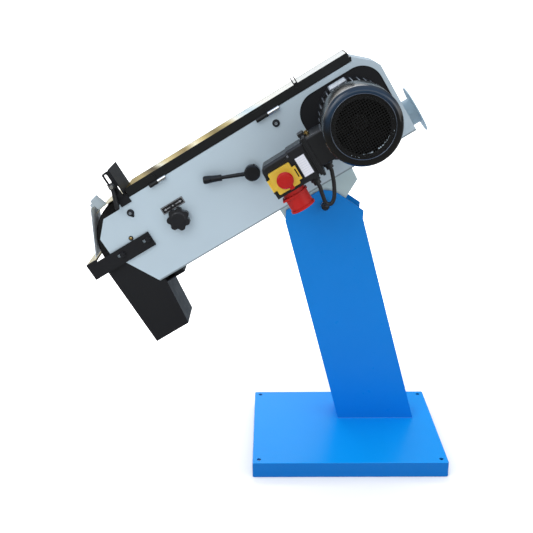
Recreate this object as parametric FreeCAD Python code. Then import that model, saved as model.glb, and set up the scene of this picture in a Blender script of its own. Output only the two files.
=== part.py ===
# Belt grinder on a leaning pedestal, as a set of separate pieces.
# Frame: millimetres, +Z up, origin on the floor under the middle of the base plate.
# +X runs towards the motor end of the machine, +Y away from the operator's side.
# The grinding head is drawn in its own level frame: s along the head towards the motor,
# t square to it and upwards, y the same as Y. It is then tilted about the pivot.
# Near means low y, far means high y, and the nose is the low-s end of the head.
import FreeCAD, Part
import math
import os

V = FreeCAD.Vector
X_DIR, Y_DIR, Z_DIR = V(1, 0, 0), V(0, 1, 0), V(0, 0, 1)
os.makedirs("parts", exist_ok=True)

# ---------------------------------------------------------------- driving dimensions
# Centres of features along Y are (s, t) pairs, or (x, z) on the pedestal.
BASE_L, BASE_W, BASE_H, BASE_T = 500.0, 400.0, 40.6, 5.0
BASE_HOLE_X, BASE_HOLE_Y, BASE_HOLE_R = 233.6, 181.9, 5.5
PIVOT = (-60.0, 655.5)                 # head pivot axis
PIVOT_R = 8.0
TILT = 30.9                            # head tilt in degrees, motor end up
COL_Y0, COL_Y1, COL_T = 35.0, 132.0, 4.0   # pedestal column, outer faces and plate
WASHER_T = 2.5
RUN = 0.05                             # running clearance on a radius

HOUSE_Y0, HOUSE_Y1 = 29.0, 151.0
PANEL_T, DOOR_T, SHEET = 3.0, 3.0, 2.0
NEAR_Y, FAR_Y = HOUSE_Y0 + PANEL_T, HOUSE_Y1 - DOOR_T  # inner faces of panel and door
FLOOR_T, TOP_T = 50.0, 280.0
END_S = 292.5                          # motor end of the housing
# housing outline (s, t) at the motor end, floor upwards
MOTOR_END = [(END_S, FLOOR_T), (END_S, 235.8), (285.5, 248.5), (275.4, 258.3), (240, 290.3)]

CONTACT, DRIVE = (-457.0, 173.0), (178.0, 173.0)       # wheel axes
CONTACT_R, DRIVE_R = 117.7, 105.0
WHEEL_Y0, WHEEL_Y1 = 55.0, 135.0
BELT_Y0, BELT_Y1 = 57.5, 132.5
BELT_GAP, BELT_T = 0.3, 1.2
RUN_T = CONTACT[1] + CONTACT_R + BELT_GAP   # inside of the belt, above the contact wheel

FIN_R, FAN_R, FAN_COVER_T = 87.0, 90.0, 1.6   # motor over fins, fan cover and its sheet
LEVER = (-114.0, 173.0)                # belt tension lever axis
CRANK_R = 7.0                          # throw of its crank pin
KNOB = (-339.0, 168.5)                 # tracking knob axis
LID_S0, LID_S1 = -418.0, 236.0
LID_HINGE = (23.0, 277.5)              # (y, t), axis along s
DOOR_HINGE = (155.0, 45.0)             # (y, t), axis along s
HINGE_PIN_R = 2.5
PORT, PORT_R, PORT_BORE = (90.0, 86.0), 34.0, 32.0     # dust port, (y, t)
REST_BOLTS = [(-518.0, 163.0), (-439.0, 163.0)]
HOUSE_BOLTS = [(-439.5, 244.5), (1.0, 247.0)]
NOSE_SCREW = (-477, 187)


# ---------------------------------------------------------------- helpers
def box(x0, x1, y0, y1, z0, z1):
    return Part.makeBox(x1 - x0, y1 - y0, z1 - z0, V(x0, y0, z0))


def cyl_y(centre, r, y0, y1):
    return Part.makeCylinder(r, y1 - y0, V(centre[0], y0, centre[1]), Y_DIR)


def cyl_x(centre, r, x0, x1):
    return Part.makeCylinder(r, x1 - x0, V(x0, *centre), X_DIR)


def cyl_z(centre, r, z0, z1):
    return Part.makeCylinder(r, z1 - z0, V(*centre, z0))


def ring_y(centre, outer, inner, y0, y1):
    return cyl_y(centre, outer, y0, y1).cut(cyl_y(centre, inner, y0 - 1, y1 + 1))


def ring_x(centre, outer, inner, x0, x1):
    return cyl_x(centre, outer, x0, x1).cut(cyl_x(centre, inner, x0 - 1, x1 + 1))


def polar(centre, r, degrees):
    angle = math.radians(degrees)
    return (centre[0] + r * math.cos(angle), centre[1] + r * math.sin(angle))


def closed(points):
    return Part.makePolygon(points + [points[0]])


def prism(points, y0, y1):
    """Outline in the XZ plane, drawn out along Y."""
    return Part.Face(closed([V(x, y0, z) for x, z in points])).extrude(V(0, y1 - y0, 0))


def offset_path(points, dist):
    """Parallel copy of an open path, dist to its left, with mitred corners."""
    out = []
    for i, (x, z) in enumerate(points):
        dirs = []
        for a, b in ((i - 1, i), (i, i + 1)):
            if a >= 0 and b < len(points):
                dx, dz = points[b][0] - points[a][0], points[b][1] - points[a][1]
                length = math.hypot(dx, dz)
                dirs.append((dx / length, dz / length))
        nx = -sum(d[1] for d in dirs)
        nz = sum(d[0] for d in dirs)
        length = math.hypot(nx, nz)
        nx, nz = nx / length, nz / length
        mitre = 1.0 / max(0.3, nx * -dirs[0][1] + nz * dirs[0][0])
        out.append((x + nx * dist * mitre, z + nz * dist * mitre))
    return out


def strip(points, thick, y0, y1):
    """Bent sheet along an open path."""
    return prism(points + offset_path(points, thick)[::-1], y0, y1)


def turned(profile, centre):
    """Solid of revolution about an axis along Y; profile is (radius, y)."""
    x, z = centre
    face = Part.Face(closed([V(x + r, y, z) for r, y in profile]))
    return face.revolve(V(x, 0, z), Y_DIR, 360)


def fuse(shapes):
    return shapes[0].multiFuse(shapes[1:]).removeSplitter()


def cut(shape, tools):
    return shape.cut(Part.Compound(tools))


def hex_y(centre, across_flats, y0, y1):
    r = across_flats / math.sqrt(3)
    return prism([polar(centre, r, 60 * k) for k in range(6)], y0, y1)


def soften(shape, r, pick):
    """Round the picked edges; keeps the plain solid when the kernel cannot round them."""
    edges = [e for e in shape.Edges if pick(e)]
    if not edges:
        return shape
    try:
        rounded = shape.makeFillet(r, edges)
        if rounded.isValid() and rounded.Volume > 0 and len(rounded.Solids) == len(shape.Solids):
            return rounded
    except Exception:
        pass
    return shape


def along(edge, direction):
    if len(edge.Vertexes) != 2:
        return False
    v = edge.Vertexes[1].Point.sub(edge.Vertexes[0].Point)
    return v.Length > 1e-6 and abs(abs(v.normalize().dot(direction)) - 1) < 1e-6


def near(a, b, tol=1e-3):
    return abs(a - b) < tol


TO_HEAD = FreeCAD.Matrix()
TO_HEAD.rotateY(math.radians(-TILT))
TO_HEAD.move(V(PIVOT[0], 0, PIVOT[1]))


def export(build, matrix=None):
    """Writes what build returns, a shape or a list of shapes, under its function's name."""
    made = build()
    shapes = made if isinstance(made, list) else [made]
    solids = [solid for shape in shapes for solid in shape.Solids]
    for solid in solids:
        assert solid.isValid() and solid.Volume > 0, build.__name__
    whole = Part.Compound(solids) if len(solids) > 1 else solids[0]
    if matrix is not None:
        whole = whole.transformed(matrix, True)
    whole.exportStep("parts/%s.step" % build.__name__)


def floor_piece(build):
    """Decorator: exports a piece drawn in the floor frame."""
    export(build)


def head_piece(build):
    """Decorator: exports a piece drawn in the head frame, tilted into place."""
    export(build, TO_HEAD)


# ================================================================ pedestal
@floor_piece
def base_plate():
    x, y = BASE_L / 2, BASE_W / 2
    xi, yi = x - BASE_T, y - BASE_T
    plate = box(-x, x, -y, y, 0, BASE_H)
    plate = soften(plate, 5.0, lambda e: along(e, Z_DIR))
    plate = soften(plate, 2.0, lambda e: near(e.BoundBox.ZMin, BASE_H, 1e-4)
                   and near(e.BoundBox.ZMax, BASE_H, 1e-4))
    plate = plate.cut(box(-xi, xi, -yi, yi, -1, BASE_H - BASE_T))
    plate = cut(plate, [cyl_z((i * BASE_HOLE_X, j * BASE_HOLE_Y), BASE_HOLE_R, 0, 60)
                        for i in (-1, 1) for j in (-1, 1)])
    rib = box(-4, 4, -yi - 1, yi + 1, 0, BASE_H - BASE_T + 1)
    return fuse([plate, rib])


@floor_piece
def column_shell():
    # the leaning edges, (x, z) at foot and top
    low_foot, low_top = (-14.6, BASE_H), (-162.7, 613.1)
    high_foot, high_top = (194.8, BASE_H), (38.8, 620.1)
    # side plates, drawn out at the top into the two cheeks that carry the head
    side = [low_foot, high_foot, high_top, (40, 640.6), (-9.1, 674.3), (-31, 688.6),
            (-45, 693.2), (-60.7, 694.8), (-79.3, 691.7), (-98.7, 679.7), (-160.7, 641.7),
            low_top]
    y0, y1 = COL_Y0 + COL_T, COL_Y1 - COL_T

    def end_wall(foot, top, z, width):
        x = foot[0] + (top[0] - foot[0]) * (z - foot[1]) / (top[1] - foot[1])
        return prism([foot, (foot[0] + width, BASE_H), (x + width, z), (x, z)], y0, y1)

    shell = fuse([prism(side, COL_Y0, y0), prism(side, y1, COL_Y1),
                  end_wall(low_foot, low_top, 600.0, 4.2),
                  end_wall(high_foot, high_top, 606.0, -4.2)])
    shell = shell.cut(cyl_y(PIVOT, PIVOT_R + 0.1, COL_Y0 - 5, COL_Y1 + 5))
    lean = V(low_top[0] - low_foot[0], 0, low_top[1] - low_foot[1]).normalize()
    return soften(shell, 2.5, lambda e: along(e, lean) and (
        near(e.BoundBox.YMin, COL_Y0) or near(e.BoundBox.YMax, COL_Y1)))


BOLT_Y0, BOLT_Y1 = COL_Y0 - WASHER_T, COL_Y1 + WASHER_T


@floor_piece
def pivot_bolt():
    """Hexagon head on the far side and a ball cap on the near side."""
    bolt = fuse([cyl_y(PIVOT, PIVOT_R, BOLT_Y0, BOLT_Y1), cyl_y(PIVOT, 5.0, 21.0, BOLT_Y0),
                 hex_y(PIVOT, 24, BOLT_Y1, BOLT_Y1 + 10)])
    return fuse([bolt, Part.makeSphere(11.0, V(PIVOT[0], 22.0, PIVOT[1])),
                 cyl_y(PIVOT, 8.5, 24, BOLT_Y0)])


@floor_piece
def pivot_washers():
    y0, y1, thick, bore = COL_Y0 + COL_T, COL_Y1 - COL_T, 0.9, PIVOT_R + 0.1
    return [ring_y(PIVOT, 10.8, PIVOT_R, BOLT_Y0, COL_Y0),
            ring_y(PIVOT, 16, PIVOT_R, COL_Y1, BOLT_Y1),
            ring_y(PIVOT, 20, bore, y0, y0 + thick),
            ring_y(PIVOT, 20, bore, y1 - thick, y1)]


# ================================================================ pivot bracket
@head_piece
def pivot_bracket():
    outer = [(-107, FLOOR_T), (107, FLOOR_T), (105, 15), (55, -12), (0, -31), (-55, -12),
             (-107, 16)]
    inner = [(-103, FLOOR_T + 1), (103, FLOOR_T + 1), (101, 17.5), (53, -8.2), (0, -26.8),
             (-53, -8.2), (-103, 18.5)]
    axis = (0, 0)
    shell = prism(outer, 40, 127).cut(prism(inner, 44, 123))
    return fuse([shell, cyl_y(axis, 15, 42, 125)]).cut(cyl_y(axis, PIVOT_R + RUN, 30, 140))


# ================================================================ housing
@head_piece
def near_side_panel():
    outline = [(-476, FLOOR_T), (-548, 179.5), (-548, 226), (-509.5, 266.4), (-461, 266.4),
               (-449, TOP_T), (236, TOP_T)] + MOTOR_END[::-1]
    opening = box(57, 281, HOUSE_Y0 - 5, NEAR_Y + 5, 81, 265)
    opening = opening.makeFillet(55, [e for e in opening.Edges if along(e, Y_DIR)])
    # keyhole slot below the bolt nearest the nose
    bolt_s, bolt_t = HOUSE_BOLTS[0]
    key_s, key_t, key_r = bolt_s + 0.6, bolt_t - 9.6, 4.4
    panel = cut(prism(outline, HOUSE_Y0, NEAR_Y), [
        opening, cyl_y(LEVER, 12, 0, 60), cyl_y(KNOB, 10, 0, 60), cyl_y(NOSE_SCREW, 2.5, 0, 60),
        cyl_y((key_s, key_t), key_r, 0, 60),
        box(key_s - key_r, key_s + key_r, 0, 60, key_t, bolt_t)]
        + [cyl_y(bolt, 4, 0, 60) for bolt in REST_BOLTS + HOUSE_BOLTS])
    # flanged bushes for the lever and the knob
    return fuse([panel,
                 ring_y(LEVER, 12, 9 + RUN, 26, 42), ring_y(LEVER, 18, 9 + RUN, 26, HOUSE_Y0),
                 ring_y(KNOB, 10, 5 + RUN, 27, 40), ring_y(KNOB, 15, 5 + RUN, 27, HOUSE_Y0)])


@head_piece
def housing_shell():
    sheet = strip([(-405, FLOOR_T)] + MOTOR_END, SHEET, NEAR_Y, FAR_Y)
    return sheet.cut(cyl_x(PORT, PORT_BORE, 280, 300))


DOOR_HINGES = [-300.0, 200.0]          # start of each door hinge along s


def door_hinge_fixed(s):
    return fuse([cyl_x(DOOR_HINGE, 5, s, s + 28),
                 box(s, s + 28, 118, DOOR_HINGE[0], 48, FLOOR_T),
                 cyl_x(DOOR_HINGE, HINGE_PIN_R, s, s + 57)])


def door_hinge_moving(s):
    s0, s1 = s + 28.2, s + 56
    leaf = fuse([cyl_x(DOOR_HINGE, 5, s0, s1),
                 box(s0, s1, HOUSE_Y1, HOUSE_Y1 + 2, DOOR_HINGE[1], 84)])
    return leaf.cut(cyl_x(DOOR_HINGE, HINGE_PIN_R + RUN, s, s + 60))


@head_piece
def access_door():
    outline = ([(-457, FLOOR_T + 2), (-410, FLOOR_T)] + MOTOR_END[:4]
               + [(250, TOP_T), (-457, TOP_T)])
    door = fuse([prism(outline, FAR_Y, HOUSE_Y1), cyl_y(CONTACT, 121.4, FAR_Y, HOUSE_Y1)])
    return fuse([door] + [door_hinge_moving(s) for s in DOOR_HINGES])


@head_piece
def door_handle():
    t0, t1 = 216, 226
    handle = fuse([box(-60, 60, 172, 180, t0, t1), box(-60, -50, HOUSE_Y1, 174, t0, t1),
                   box(50, 60, HOUSE_Y1, 174, t0, t1)])
    return soften(handle, 2.5, lambda e: along(e, X_DIR))


# ================================================================ belt and wheels
def belt_loop(grow, y0, y1):
    """Solid inside the loop that runs round both wheels, at grow from their rims."""
    r1, r2 = CONTACT_R + grow, DRIVE_R + grow
    s1, s2, t = CONTACT[0], DRIVE[0], CONTACT[1]
    sin = (r1 - r2) / (s2 - s1)
    cos = math.sqrt(1 - sin * sin)
    top1, low1 = V(s1 + r1 * sin, y0, t + r1 * cos), V(s1 + r1 * sin, y0, t - r1 * cos)
    top2, low2 = V(s2 + r2 * sin, y0, t + r2 * cos), V(s2 + r2 * sin, y0, t - r2 * cos)
    loop = Part.Wire([Part.makeLine(top1, top2),
                      Part.Arc(top2, V(s2 + r2, y0, t), low2).toShape(),
                      Part.makeLine(low2, low1),
                      Part.Arc(low1, V(s1 - r1, y0, t), top1).toShape()])
    return Part.Face(loop).extrude(V(0, y1 - y0, 0))


@head_piece
def abrasive_belt():
    return belt_loop(BELT_GAP + BELT_T, BELT_Y0, BELT_Y1).cut(belt_loop(BELT_GAP, 0, 200))


HUB_R = 90.0                           # contact wheel hub, and bore of its tyre
AXLE_R = 10.0


@head_piece
def contact_wheel_tyre():
    r, bevel = CONTACT_R, 2
    return turned([(HUB_R, WHEEL_Y0), (r - bevel, WHEEL_Y0), (r, WHEEL_Y0 + bevel),
                   (r, WHEEL_Y1 - bevel), (r - bevel, WHEEL_Y1), (HUB_R, WHEEL_Y1)], CONTACT)


@head_piece
def contact_wheel_hub():
    hub = turned([(26, 60), (34, 60), (36, 64), (36, 88), (82, 90), (82, WHEEL_Y0),
                  (HUB_R, WHEEL_Y0), (HUB_R, WHEEL_Y1), (82, WHEEL_Y1), (82, 100), (36, 102),
                  (36, 126), (34, 130), (26, 130), (26, 113), (22, 113), (22, 77), (26, 77)],
                 CONTACT)
    return cut(hub, [cyl_y(polar(CONTACT, 59, a), 13, 70, 120) for a in range(0, 360, 60)])


@head_piece
def contact_wheel_bearings():
    return [ring_y(CONTACT, 26, AXLE_R + RUN, y, y + 15) for y in (62, 113)]


# fork outer faces, nose end, and the faces of its stem
FORK_Y0, FORK_Y1, FORK_S = 44, 143, -482
STEM_Y0, STEM_Y1, STEM_T0, STEM_T1 = 83, 107, 158, 188
CRANK_PIN = polar(LEVER, CRANK_R, 225)


@head_piece
def contact_wheel_axle():
    return fuse([cyl_y(CONTACT, AXLE_R, FORK_Y0, FORK_Y1), hex_y(CONTACT, 28, 39.4, FORK_Y0),
                 hex_y(CONTACT, 28, FORK_Y1, 147.4)])


@head_piece
def wheel_fork():
    fork = fuse([box(FORK_S, -322, FORK_Y0, 52, 155, 191),
                 box(FORK_S, -322, 138, FORK_Y1, 155, 191),
                 box(-334, -322, FORK_Y0, FORK_Y1, 150, 196),
                 box(-323, -95, STEM_Y0, STEM_Y1, STEM_T0, STEM_T1)])
    fork = soften(fork, 14, lambda e: along(e, Y_DIR) and near(e.BoundBox.XMin, FORK_S))
    slot_s, slot_half = CRANK_PIN[0], 4.7
    return cut(fork, [cyl_y(CONTACT, AXLE_R, 30, 160),
                      box(slot_s - slot_half, slot_s + slot_half, 70, 120,
                          LEVER[1] - 13, LEVER[1] + 1.5)])


@head_piece
def fork_guide():
    return box(-290, -200, NEAR_Y, 116, 146, 200).cut(
        box(-300, -190, STEM_Y0 - RUN, STEM_Y1 + RUN, STEM_T0 - RUN, STEM_T1 + RUN))


@head_piece
def tension_spring():
    """Stack of disc springs around the fork's stem, joined by alternate rims."""
    axis, pitch, disc_t, count = (95, 173), 2.5, 1.3, 9
    rings = []
    for k in range(count):
        s = -311.9 + pitch * k
        rings.append(ring_x(axis, 26.3, 19.8, s, s + disc_t))
        if k < count - 1:
            outer, inner = (26.3, 24.7) if k % 2 else (21.4, 19.8)
            rings.append(ring_x(axis, outer, inner, s + disc_t, s + pitch))
    return fuse(rings)


# ================================================================ platen
PLATEN_T0, PLATEN_T1 = RUN_T - 11.2, RUN_T - 3.2


def tilt_top(shape):
    """Lines a piece up with the belt's upper run."""
    slope = math.asin((CONTACT_R - DRIVE_R) / (DRIVE[0] - CONTACT[0]))
    shape.rotate(V(CONTACT[0], 0, CONTACT[1]), Y_DIR, math.degrees(slope))
    return shape


@head_piece
def platen_support():
    def gusset(s):
        return prism([(s, 224), (s + 6, 224), (s + 6, RUN_T - 18), (s, RUN_T - 18)], 38, 80)

    support = fuse([box(-320, 44, NEAR_Y + 0.2, 38, 224, PLATEN_T0),
                    box(-320, 44, 36, 130, RUN_T - 18.2, PLATEN_T0), gusset(-300), gusset(-140)])
    return tilt_top(support).cut(cyl_y(HOUSE_BOLTS[1], 4.0, 20, 60))


@head_piece
def platen():
    return tilt_top(box(-326, 56, 55, 135, PLATEN_T0, PLATEN_T1))


@head_piece
def graphite_pad():
    return tilt_top(box(-322, 52, 57, 133, PLATEN_T1, RUN_T - 0.2))


# ================================================================ motor
MOTOR_BOLTS = [polar(DRIVE, 75, a) for a in (45, 135, 225, 315)]
MOTOR_PLATE_Y = 40                     # far face of the motor plate
BODY_R = 66                            # bore of the motor frame
CORE_Y0, CORE_Y1 = -95, -15            # stator and rotor cores
SHAFT_R, FAN_SHAFT_R = 12.5, 10


def motor_bolt_holes(shape):
    return cut(shape, [cyl_y(bolt, 5, 0, 60) for bolt in MOTOR_BOLTS])


@head_piece
def motor_plate():
    plate = prism([(50, 72), (287, 72), (287, 236), (280, 246), (270, 256), (250, 274),
                   (50, 274)], NEAR_Y, MOTOR_PLATE_Y)
    return motor_bolt_holes(plate.cut(cyl_y(DRIVE, 50, 0, 60)))


@head_piece
def motor_frame():
    """Tube with tapered fins, a terminal box seat and a label pad."""
    fins, root_r = 32, 76
    root = math.degrees(math.asin(1.6 / root_r))
    tip = math.degrees(math.asin(1.1 / FIN_R))
    outline = []
    for k in range(fins):
        a = 360 * k / fins
        outline += [polar(DRIVE, root_r, a - root), polar(DRIVE, FIN_R, a - tip),
                    polar(DRIVE, FIN_R, a + tip), polar(DRIVE, root_r, a + root)]
    frame = fuse([prism(outline, -112, 2), cyl_y(DRIVE, 77.5, -118, 8),
                  box(90, 130, -108, -14, 119, 196), box(154, 200, -80, 2, 235, 261)])
    return frame.cut(cyl_y(DRIVE, BODY_R, -130, 20))


@head_piece
def motor_end_shields():
    far = motor_bolt_holes(turned(
        [(26, 12), (26, 27), (14, 27), (14, 38), (50, 38), (50, NEAR_Y), (86, NEAR_Y), (86, 25),
         (83, 20), (83, 8), (BODY_R, 8), (BODY_R, 12)], DRIVE))
    # the near shield has four pads that reach the fan cover
    s, t = DRIVE
    pads = [box(s - 7, s + 7, -125, -118, t + k - 5, t + k + 5) for k in (-84, 84)]
    pads += [box(s + k - 5, s + k + 5, -125, -118, t - 7, t + 7) for k in (-84, 84)]
    near_shield = fuse([turned(
        [(23.5, -124), (23.5, -110), (30, -110), (34, -118), (80, -118), (80, -125), (30, -130),
         (12, -130), (12, -124)], DRIVE)] + pads)
    return [far, near_shield.common(cyl_y(DRIVE, FAN_R - FAN_COVER_T, -140, -100))]


@head_piece
def motor_bearings():
    return [ring_y(DRIVE, 26, SHAFT_R + RUN, 12, 27),
            ring_y(DRIVE, 23.5, FAN_SHAFT_R + RUN, -124, -110)]


@head_piece
def motor_stator():
    return fuse([ring_y(DRIVE, BODY_R, 42.5, CORE_Y0, CORE_Y1),
                 ring_y(DRIVE, 61, 46, CORE_Y0 - 12, CORE_Y0),
                 ring_y(DRIVE, 61, 46, CORE_Y1, CORE_Y1 + 12)])


@head_piece
def motor_rotor():
    shaft = fuse([cyl_y(DRIVE, SHAFT_R, -108, 129.5), cyl_y(DRIVE, FAN_SHAFT_R, -158, -108)])
    core = ring_y(DRIVE, 41.8, SHAFT_R, CORE_Y0, CORE_Y1)
    return fuse([shaft, core]).cut(cyl_y(DRIVE, 4, 105, 140))


@head_piece
def motor_fan():
    parts = [ring_y(DRIVE, 19, FAN_SHAFT_R, -158, -134), ring_y(DRIVE, 72, 15, -137, -134)]
    for k in range(9):
        blade = box(17, 71, -156, -136, -1.3, 1.3)
        blade.rotate(V(0, 0, 0), Y_DIR, 40 * k)
        blade.translate(V(DRIVE[0], 0, DRIVE[1]))
        parts.append(blade)
    return fuse(parts)


@head_piece
def fan_cover():
    """Drum with a rolled near edge and a grille of square holes."""
    y0, y1 = -230.0, -118.0
    grille_r, roll_r = 71.5, 13.0
    pitch, hole = 5.8, 4.2
    inner_r = FAN_R - FAN_COVER_T

    def at(r, y):
        return V(DRIVE[0] + r, y, DRIVE[1])

    def roll(r):
        """Start, middle and end of the rolled edge, near end first."""
        mid_r, mid_y, diag = FAN_R - roll_r, y0 + roll_r, r * math.sqrt(0.5)
        return at(mid_r, mid_y - r), at(mid_r + diag, mid_y - diag), at(mid_r + r, mid_y)

    outer, inner = roll(roll_r), roll(roll_r - FAN_COVER_T)
    line = Part.makeLine
    profile = Part.Wire([
        line(at(grille_r, y0 + FAN_COVER_T), at(grille_r, y0)), line(at(grille_r, y0), outer[0]),
        Part.Arc(*outer).toShape(), line(outer[2], at(FAN_R, y1)),
        line(at(FAN_R, y1), at(inner_r, y1)), line(at(inner_r, y1), inner[2]),
        Part.Arc(*inner[::-1]).toShape(), line(inner[0], at(grille_r, y0 + FAN_COVER_T))])
    drum = Part.Face(profile).revolve(at(0, 0), Y_DIR, 360)

    grille_y = y0 + 1.2
    wires = [Part.Wire(Part.makeCircle(grille_r, at(0, grille_y), Y_DIR))]
    for i in range(-13, 14):
        for j in range(-13, 14):
            # leave out holes that would come within 2 of the rim
            if math.hypot(pitch * i, pitch * j) + hole * 0.72 > grille_r - 2.0:
                continue
            s, t = DRIVE[0] + pitch * i, DRIVE[1] + pitch * j
            wires.append(closed([V(s + u * hole / 2, grille_y, t + w * hole / 2)
                                 for u, w in ((-1, -1), (1, -1), (1, 1), (-1, 1))]))
    grille = Part.makeFace(wires, "Part::FaceMakerBullseye").extrude(V(0, 1.8, 0))
    return drum.fuse(grille)


@head_piece
def drive_wheel():
    """Crowned wheel with its washer and bolt."""
    mid, low, face = (WHEEL_Y0 + WHEEL_Y1) / 2, DRIVE_R - 0.8, 129.5
    wheel = turned([(SHAFT_R, 58), (30, 58), (32, 62), (32, 88), (97, 90), (97, WHEEL_Y0),
                    (low, WHEEL_Y0), (DRIVE_R, mid - 10), (DRIVE_R, mid + 10), (low, WHEEL_Y1),
                    (97, WHEEL_Y1), (97, 100), (32, 102), (32, face), (SHAFT_R, face)], DRIVE)
    wheel = cut(wheel, [cyl_y(polar(DRIVE, 64, a), 15, 70, 120) for a in range(0, 360, 60)])
    return fuse([wheel, cyl_y(DRIVE, 4, 108, 134), cyl_y(DRIVE, 22, face, 133),
                 hex_y(DRIVE, 17, 133, 140)])


# ================================================================ tension lever, knob
LEVER_DIR = V(*polar((0, 0), 1, 157.7)[:1], 0, polar((0, 0), 1, 157.7)[1])
LEVER_MID = V(LEVER[0], 14, LEVER[1])
ROD_START, ROD_L = 16, 62


@head_piece
def tension_lever_arm():
    shaft = fuse([cyl_y(LEVER, 9, 6, 70), cyl_y(LEVER, 15, 68, 76), cyl_y(CRANK_PIN, 4, 74, 106)])
    boss = turned([(9, 4), (17, 4), (20.5, 8), (20.5, 25), (9, 25), (9, 24)], LEVER)
    boss = fuse([boss, turned([(0, 4), (9, 4), (9, 6), (0, 6)], LEVER),
                 cyl_y(polar(LEVER, 20.5, 47), 2.6, 10, 20)])
    rod = Part.makeCone(5.6, 4.8, ROD_L, LEVER_MID + LEVER_DIR * ROD_START, LEVER_DIR)
    return fuse([boss, rod, shaft])


@head_piece
def tension_lever_handle():
    # (radius, distance from the rod's end)
    profile = [(0, 0), (7.6, 0), (8.4, 3), (8.0, 10), (9.0, 26), (10.4, 42), (9.6, 46), (7, 48),
               (0, 48)]
    handle = Part.Face(closed([V(r, 0, z) for r, z in profile])).revolve(V(0, 0, 0), Z_DIR, 360)
    handle.Placement = FreeCAD.Placement(LEVER_MID + LEVER_DIR * (ROD_START + ROD_L),
                                         FreeCAD.Rotation(Z_DIR, LEVER_DIR))
    return handle


@head_piece
def tracking_knob():
    """Seven-lobed grip on its spindle."""
    rim = []
    for k in range(84):
        a = 2 * math.pi * k / 84
        r = 30.4 - 5.8 * ((1 - math.cos(7 * a - 0.5)) / 2) ** 1.7
        rim.append(V(KNOB[0] + r * math.cos(a), 8, KNOB[1] + r * math.sin(a)))
    curve = Part.BSplineCurve()
    curve.interpolate(rim, PeriodicFlag=True)
    grip = Part.Face(Part.Wire(curve.toShape())).extrude(V(0, 15, 0))
    grip = fuse([grip, turned([(0, 5), (16, 5), (21, 8), (21, 9), (0, 9)], KNOB),
                 cyl_y(KNOB, 11, 22, 26.5)])
    return fuse([grip, cyl_y(KNOB, 5, 12, 43.6)])


@head_piece
def tracking_label():
    return box(-368, -303, HOUSE_Y0 - 0.6, HOUSE_Y0, 194.5, 213.5)


# ================================================================ top lid
# lid hinges along s: start, joint between the knuckles, end
LID_HINGES = [(-357.0, -331.5, -308.0), (-38.0, -4.0, 28.0)]


@head_piece
def lid_skin():
    return fuse([box(LID_S0, LID_S1, 30, HOUSE_Y1, 303, 304.5),
                 box(LID_S0 + 14, LID_S1, HOUSE_Y1 - 1.5, HOUSE_Y1, 284, 303.5)])


def lid_hinge_moving(s0, joint):
    leaf = fuse([cyl_x(LID_HINGE, 5.5, s0, joint - 0.1),
                 box(s0, joint - 0.1, 26, 28, LID_HINGE[1], 298)])
    return leaf.cut(cyl_x(LID_HINGE, HINGE_PIN_R + RUN, s0 - 1, joint + 1))


def lid_hinge_fixed(s0, joint, s1):
    t = LID_HINGE[1]
    return fuse([cyl_x(LID_HINGE, 5.5, joint + 0.1, s1),
                 box(joint + 0.1, s1, 26.5, HOUSE_Y0, t - 4.5, t + 2),
                 cyl_x(LID_HINGE, HINGE_PIN_R, s0 + 1, s1)])


@head_piece
def lid_flange():
    flange = fuse([box(LID_S0, LID_S1, 28, 30, 281, 304.5),
                   box(LID_S0, LID_S1, 30, 34, 301.5, 303)])
    clip = fuse([box(86, 97, 27, 28, 286, 306), box(86, 88.6, 24, 28, 304.6, 323),
                 box(94.4, 97, 24, 28, 304.6, 323), box(86, 97, 24, 28, 303, 308),
                 cyl_y((89, 294), 2.6, 25.6, 27.5)])
    return fuse([flange, clip] + [lid_hinge_moving(s0, joint) for s0, joint, _ in LID_HINGES])


@head_piece
def hinge_halves_fixed():
    return ([lid_hinge_fixed(*hinge) for hinge in LID_HINGES]
            + [door_hinge_fixed(s) for s in DOOR_HINGES])


# ================================================================ workpiece stop
CLAMP = (-438.0, 327.0)                # clamp screw axis


@head_piece
def workpiece_stop():
    s, slot_r, s_end = CLAMP[0], 3.8, -447
    stop = fuse([box(-426, -423, 23, 130, 296, 368), box(s_end, -423, 23, 26, 290, 366)])
    stop = soften(stop, 6, lambda e: along(e, Y_DIR) and near(e.BoundBox.XMin, s_end)
                  and e.BoundBox.ZMin > 360)
    slot = fuse([box(s - slot_r, s + slot_r, 20, 28, 308, 357),
                 cyl_y((s, 308), slot_r, 20, 28), cyl_y((s, 357), slot_r, 20, 28)])
    return cut(stop, [slot, box(-428.6, -426.0, 20, 27, 280, 320)])


@head_piece
def stop_bracket():
    outline = [(-450, 268), (-419.5, 268), (-419.5, 291), (-429.2, 291), (-429.2, 336),
               (-450, 336)]
    return prism(outline, 26, HOUSE_Y0).cut(cyl_y(CLAMP, 3.5 + RUN, 0, 60))


@head_piece
def stop_clamp_lever():
    mid = V(CLAMP[0], 14, CLAMP[1])
    arm = V(-0.34, 0, -0.94).normalize()
    lever = fuse([turned([(3.5, 8), (7.4, 8), (8.6, 10), (8.6, 20), (7.4, 22.5), (3.5, 22.5)],
                         CLAMP),
                  Part.makeCone(4.4, 6.4, 50, mid + arm * 5, arm),
                  Part.makeCone(6.4, 5.4, 5, mid + arm * 55, arm)])
    return fuse([lever, cyl_y(CLAMP, 3.5, 6.5, 34),
                 turned([(0, 6), (4.6, 6), (4.6, 8), (0, 8)], CLAMP)])


# ================================================================ nose sheet, front guard
GUARD_HINGE, GUARD_PIN_R = (-516.0, 311.0), 2
NOSE_BEND = [(-490, 295.4), (-502.5, 292.6)]


@head_piece
def nose_sheet():
    tip = (-516, 288.7)
    return fuse([strip([(-430, 296), (-476, 296)] + NOSE_BEND + [tip], 1.5, HOUSE_Y0, 147.5),
                 strip([NOSE_BEND[1], tip, (-519.5, 303.5)], 1.5, 86, 147.5),
                 box(-449, -431, HOUSE_Y0, 30.5, 281, 295.5)])


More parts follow.
